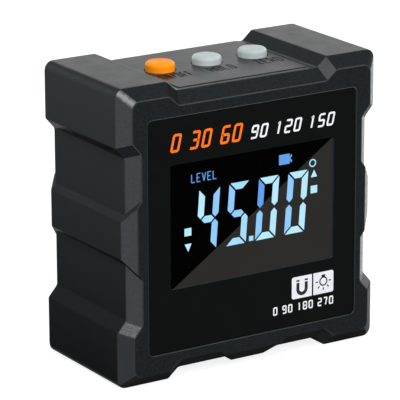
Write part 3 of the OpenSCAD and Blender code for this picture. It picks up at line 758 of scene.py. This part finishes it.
# Each digit as its lit segments, sorted by how bright they show
DIGITS = (
    {BRIGHT: "f", MIDDLE: "g", SOFT: "bc"},
    {MIDDLE: "acd", SOFT: "fg"},
    {BRIGHT: "abcd", SOFT: "e", DIM: "f"},
    {BRIGHT: "abcd", SOFT: "ef"},
)
LIT_THICKNESS = 0.04
MARKER, MARKER_PLACES = 1.55, ((-14.25, 29.5), (15.3, 33.4))
LEFT_ARROW = [(-15.0, 27.1), (-14.2, 25.5), (-13.45, 27.1)]
RIGHT_ARROW = [(14.55, 35.95), (16.05, 35.95), (15.3, 37.4)]


def segment(letter):
    """Outline of one of the seven segments, lettered from the top clockwise, in an upright digit."""
    w, h, t, g = SEGMENT_W, SEGMENT_H, SEGMENT_T, SEGMENT_GAP
    mid = h / 2
    if letter == "g":
        return [(t / 2 + g, mid), (t + g, mid + t / 2), (w - t - g, mid + t / 2), (w - t / 2 - g, mid),
                (w - t - g, mid - t / 2), (t + g, mid - t / 2)]
    if letter in "ad":
        points = [(g, h), (w - g, h), (w - t - g, h - t), (t + g, h - t)]
    else:
        points = [(0, h - g), (t, h - t - g), (t, mid + t / 2 + g), (t / 2, mid + g), (0, mid + t / 2 + g)]
    if letter in "bc":
        points = [(w - x, y) for x, y in points]
    if letter in "cde":
        points = [(x, h - y) for x, y in points]
    return points


def digit_segments(paint):
    """Outlines of the segments of all digits that show in one paint."""
    outlines = []
    for i, digit in enumerate(DIGITS):
        left = DIGIT_X + i * DIGIT_PITCH
        for letter in digit.get(paint, ""):
            outlines.append([(left + x + DIGIT_SLANT * y, DIGIT_Z + y) for x, y in segment(letter)])
    return outlines


def square(x, y, w, h):
    return [(x - w / 2, y - h / 2), (x + w / 2, y - h / 2), (x + w / 2, y + h / 2), (x - w / 2, y + h / 2)]


def battery_mark():
    """A battery that lies on its side, with a notched pole at its right end."""
    body = rounded_box(x0=6.95, y0=39.6, x1=9.45, y1=41.65, radii=(0.12,) * 4)
    pole = square(x=9.55, y=40.62, w=0.3, h=1.0)
    return [body, pole, square(x=9.83, y=41.15, w=0.3, h=0.5), square(x=9.83, y=40.1, w=0.3, h=0.5)]


def lit(name, faces, paint):
    drawing(name, faces, facing_front(GLASS_Y), paint, thick=LIT_THICKNESS)


for paint, level in ((BRIGHT, "bright"), (MIDDLE, "middle"), (SOFT, "soft"), (DIM, "dim")):
    lit("digits_" + level, digit_segments(paint), paint)
lit("decimal_point", [square(x=0.42, y=25.75, w=1.0, h=1.0)], MIDDLE)
lit("marker_squares", [square(x, z, MARKER, MARKER) for x, z in MARKER_PLACES], BRIGHT)
lit("marker_arrows", [LEFT_ARROW, RIGHT_ARROW], BRIGHT)
lit("degree_ring", ribbon(circle(x=14.95, y=38.85, r=0.7), width=0.24, closed=True), MIDDLE)
lit("battery_mark", battery_mark(), DIM)
lit("level_word", lettering("LEVEL", x=-13.45, y=39.2, width=5.85, height=1.8, stroke=0.17), DIM)


# Print on the panel, in millimetres: plain numbers of an angle scale and two common signs

SCALE_Z = 46.4
SCALE_SLANT = math.tan(math.radians(13))
TILE_LOW, TILE_HIGH, TILE_ROUND = 11.85, 16.4, 0.45
MAGNET_X, MAGNET_Z, MAGNET_R, MAGNET_BAR = 11.6, 13.75, 1.0, 0.72
MAGNET_END, POLE_Z, POLE_H = 15.1, 15.53, 0.36
BOW_STEPS = 12
LAMP_X, LAMP_Z, LAMP_R, LAMP_STROKE = 16.75, 14.4, 0.85, 0.27
RAY_START, RAY_END, RAY_WIDTH = 1.3, 1.85, 0.25
RAY_ANGLES = (0, 180, 225, 270, 315)


def sign_tiles():
    """Two tiles side by side, rounded at their outer corners."""
    r = TILE_ROUND
    return [rounded_box(x0=9.15, y0=TILE_LOW, x1=13.98, y1=TILE_HIGH, radii=(r, 0, 0, r)),
            rounded_box(x0=14.34, y0=TILE_LOW, x1=19.2, y1=TILE_HIGH, radii=(0, r, r, 0))]


def magnet_sign():
    """A horseshoe magnet, open at the top, with its poles set off by a gap."""
    angles = [math.radians(180 + 180 * k / BOW_STEPS) for k in range(BOW_STEPS + 1)]
    bow = [(MAGNET_X + MAGNET_R * math.cos(a), MAGNET_Z + MAGNET_R * math.sin(a)) for a in angles]
    line = [(MAGNET_X - MAGNET_R, MAGNET_END)] + bow + [(MAGNET_X + MAGNET_R, MAGNET_END)]
    poles = [square(MAGNET_X + side, POLE_Z, MAGNET_BAR, POLE_H) for side in (-MAGNET_R, MAGNET_R)]
    return ribbon(line, MAGNET_BAR) + poles


def lamp_sign():
    """A round lamp with its cap above, and rays at its sides and below."""
    faces = ribbon(circle(LAMP_X, LAMP_Z, LAMP_R), LAMP_STROKE, closed=True)
    faces += [square(x=LAMP_X, y=15.55, w=0.9, h=0.5)]
    centre = Vector((LAMP_X, LAMP_Z))
    for angle in RAY_ANGLES:
        ray = Vector((math.cos(math.radians(angle)), math.sin(math.radians(angle))))
        faces += ribbon([centre + ray * RAY_START, centre + ray * RAY_END], RAY_WIDTH)
    return faces


def printed(name, faces, paint, layer=0):
    drawing(name, faces, facing_front(PANEL_Y - layer * INK), paint)


scale_low = lettering("0 30 60", x=-19.2, y=SCALE_Z, width=16.0, height=3.65, stroke=0.5, slant=SCALE_SLANT)
scale_high = lettering("90 120 150", x=-0.9, y=SCALE_Z, width=19.6, height=2.75, stroke=0.4,
                       slant=SCALE_SLANT)
quarter_turns = lettering("0 90 180 270", x=4.7, y=9.25, width=14.5, height=1.75, stroke=0.28)
printed("scale_low", scale_low, ORANGE_INK)
printed("scale_high", scale_high, WHITE_INK)
printed("quarter_turns", quarter_turns, WHITE_INK)
printed("sign_tiles", sign_tiles(), TILE_INK)
printed("magnet_sign", magnet_sign(), DARK_INK, layer=1)
printed("lamp_sign", lamp_sign(), DARK_INK, layer=1)


# Words beside the keys, dark on the deck, in millimetres: each with its middle in x and its length

KEY_WORDS = {"power": ("ON/OFF", -10.5, 7.0), "hold": ("HOLD", 0.0, 5.9), "zero": ("ZERO", 11.0, 5.9)}
WORD_Y, WORD_HEIGHT, WORD_STROKE = -5.5, 3.3, 0.29

for key, (word, x, length) in KEY_WORDS.items():
    faces = lettering(word, x - length / 2, WORD_Y, length, WORD_HEIGHT, WORD_STROKE)
    drawing(key + "_word", faces, facing_up(DECK_FIELD_Z), LEGEND_INK)


# Mark on the battery door that points at its latch, in millimetres

DOOR_ARROW = [(-2.0, 29.4), (0.0, 26.6), (2.0, 29.4)]
drawing("door_arrow", [DOOR_ARROW], facing_back(DOOR_Y), EDGE_HIGHLIGHT_AND_MARK, body="door")


# Stage: floor, light and camera

# Places and the floor in metres, the roll in degrees, the lens and its sensor in millimetres
MIDDLE_POINT = Vector((0, 0, BODY_HEIGHT / 2)) * MM
CAMERA_EYE = Vector((-309.68, -481.07, 201.26)) * MM
CAMERA_TARGET = Vector((-1.84, 1.24, 30.19)) * MM
CAMERA_ROLL = -0.17
CAMERA_LENS, CAMERA_SENSOR = 269.5, 36.0
CAMERA_NEAR = 0.01
FLOOR_SIZE = 6.0
# Glow of the floor where it is seen, and brightness of the sky as light on the part
FLOOR_LIFT = 0.83
SKY_LEVEL = 0.47


def background_rays(tree):
    """A socket that is 1 for what the camera, gloss and clear pieces see, and 0 for light on the part."""
    rays = tree.nodes.new("ShaderNodeLightPath").outputs
    seen = rays["Is Camera Ray"]
    for ray in ("Is Glossy Ray", "Is Transmission Ray"):
        larger = tree.nodes.new("ShaderNodeMath")
        larger.operation = "MAXIMUM"
        tree.links.new(seen, larger.inputs[0])
        tree.links.new(rays[ray], larger.inputs[1])
        seen = larger.outputs[0]
    return seen


def floor():
    bpy.ops.mesh.primitive_plane_add(size=FLOOR_SIZE)
    plane = bpy.context.object
    plane.name = "floor"
    paint = Paint("floor_white", (0.32, 0.32, 0.32), roughness=0.9, specular=0.0)
    paint.set("Emission Color", (1.0, 1.0, 1.0, 1.0))
    lift = paint.math("MULTIPLY", background_rays(paint.tree), FLOOR_LIFT)
    paint.feed(paint.shader.inputs["Emission Strength"], lift)
    plane.data.materials.append(paint.material)


def sky():
    world = bpy.data.worlds.new("studio")
    bpy.context.scene.world = world
    world.use_nodes = True
    tree = world.node_tree
    level = tree.nodes.new("ShaderNodeMapRange")
    level.inputs["To Min"].default_value = SKY_LEVEL
    tree.links.new(background_rays(tree), level.inputs["Value"])
    background = tree.nodes["Background"]
    background.inputs["Color"].default_value = (1.0, 1.0, 1.0, 1.0)
    tree.links.new(level.outputs["Result"], background.inputs["Strength"])


def lamp(name, direction, distance, size, watts, along=None, length=None):
    """A soft lamp that shines at the middle of the gauge from a direction.

    It is square, or a strip with a length along a line. Its sizes and distance are in metres.
    """
    data = bpy.data.lights.new(name, "AREA")
    data.shape = "RECTANGLE"
    data.size = length or size
    data.size_y = size
    data.energy = watts
    light = bpy.data.objects.new(name, data)
    light.visible_camera = False
    bpy.context.scene.collection.objects.link(light)
    toward = Vector(direction).normalized()
    light.location = MIDDLE_POINT + toward * distance
    across = Vector(along or (0, 0, 1)).cross(toward).normalized()
    if along:
        across = toward.cross(across)
    light.rotation_euler = Matrix((across, toward.cross(across), toward)).transposed().to_euler()


def camera():
    """The camera that was solved from the photograph."""
    data = bpy.data.cameras.new("camera")
    data.lens = CAMERA_LENS
    data.sensor_width = CAMERA_SENSOR
    data.clip_start = CAMERA_NEAR
    view = bpy.data.objects.new("camera", data)
    bpy.context.scene.collection.objects.link(view)
    aim = (CAMERA_TARGET - CAMERA_EYE).to_track_quat("-Z", "Y").to_matrix().to_4x4()
    roll = Matrix.Rotation(math.radians(CAMERA_ROLL), 4, "Z")
    view.matrix_world = Matrix.Translation(CAMERA_EYE) @ aim @ roll
    bpy.context.scene.camera = view


floor()
sky()
lamp("key", (-0.35, -0.54, 0.76), distance=0.9, size=0.13, watts=3.0, along=(0.55, 0.09, 0.43), length=0.5)
lamp("front", (-0.25, -0.87, 0.43), distance=0.9, size=0.6, watts=4.2)
lamp("overhead", (0.45, -0.29, 0.81), distance=0.9, size=0.4, watts=0.8)
lamp("fill", (0.52, -0.76, 0.38), distance=0.9, size=0.35, watts=1.2)
lamp("rim", (0.8, 0.5, 0.35), distance=0.8, size=0.35, watts=1.2)
lamp("back", (-0.3, 0.93, 0.14), distance=0.9, size=0.5, watts=2.8)
camera()
bpy.context.scene.view_settings.view_transform = "Standard"
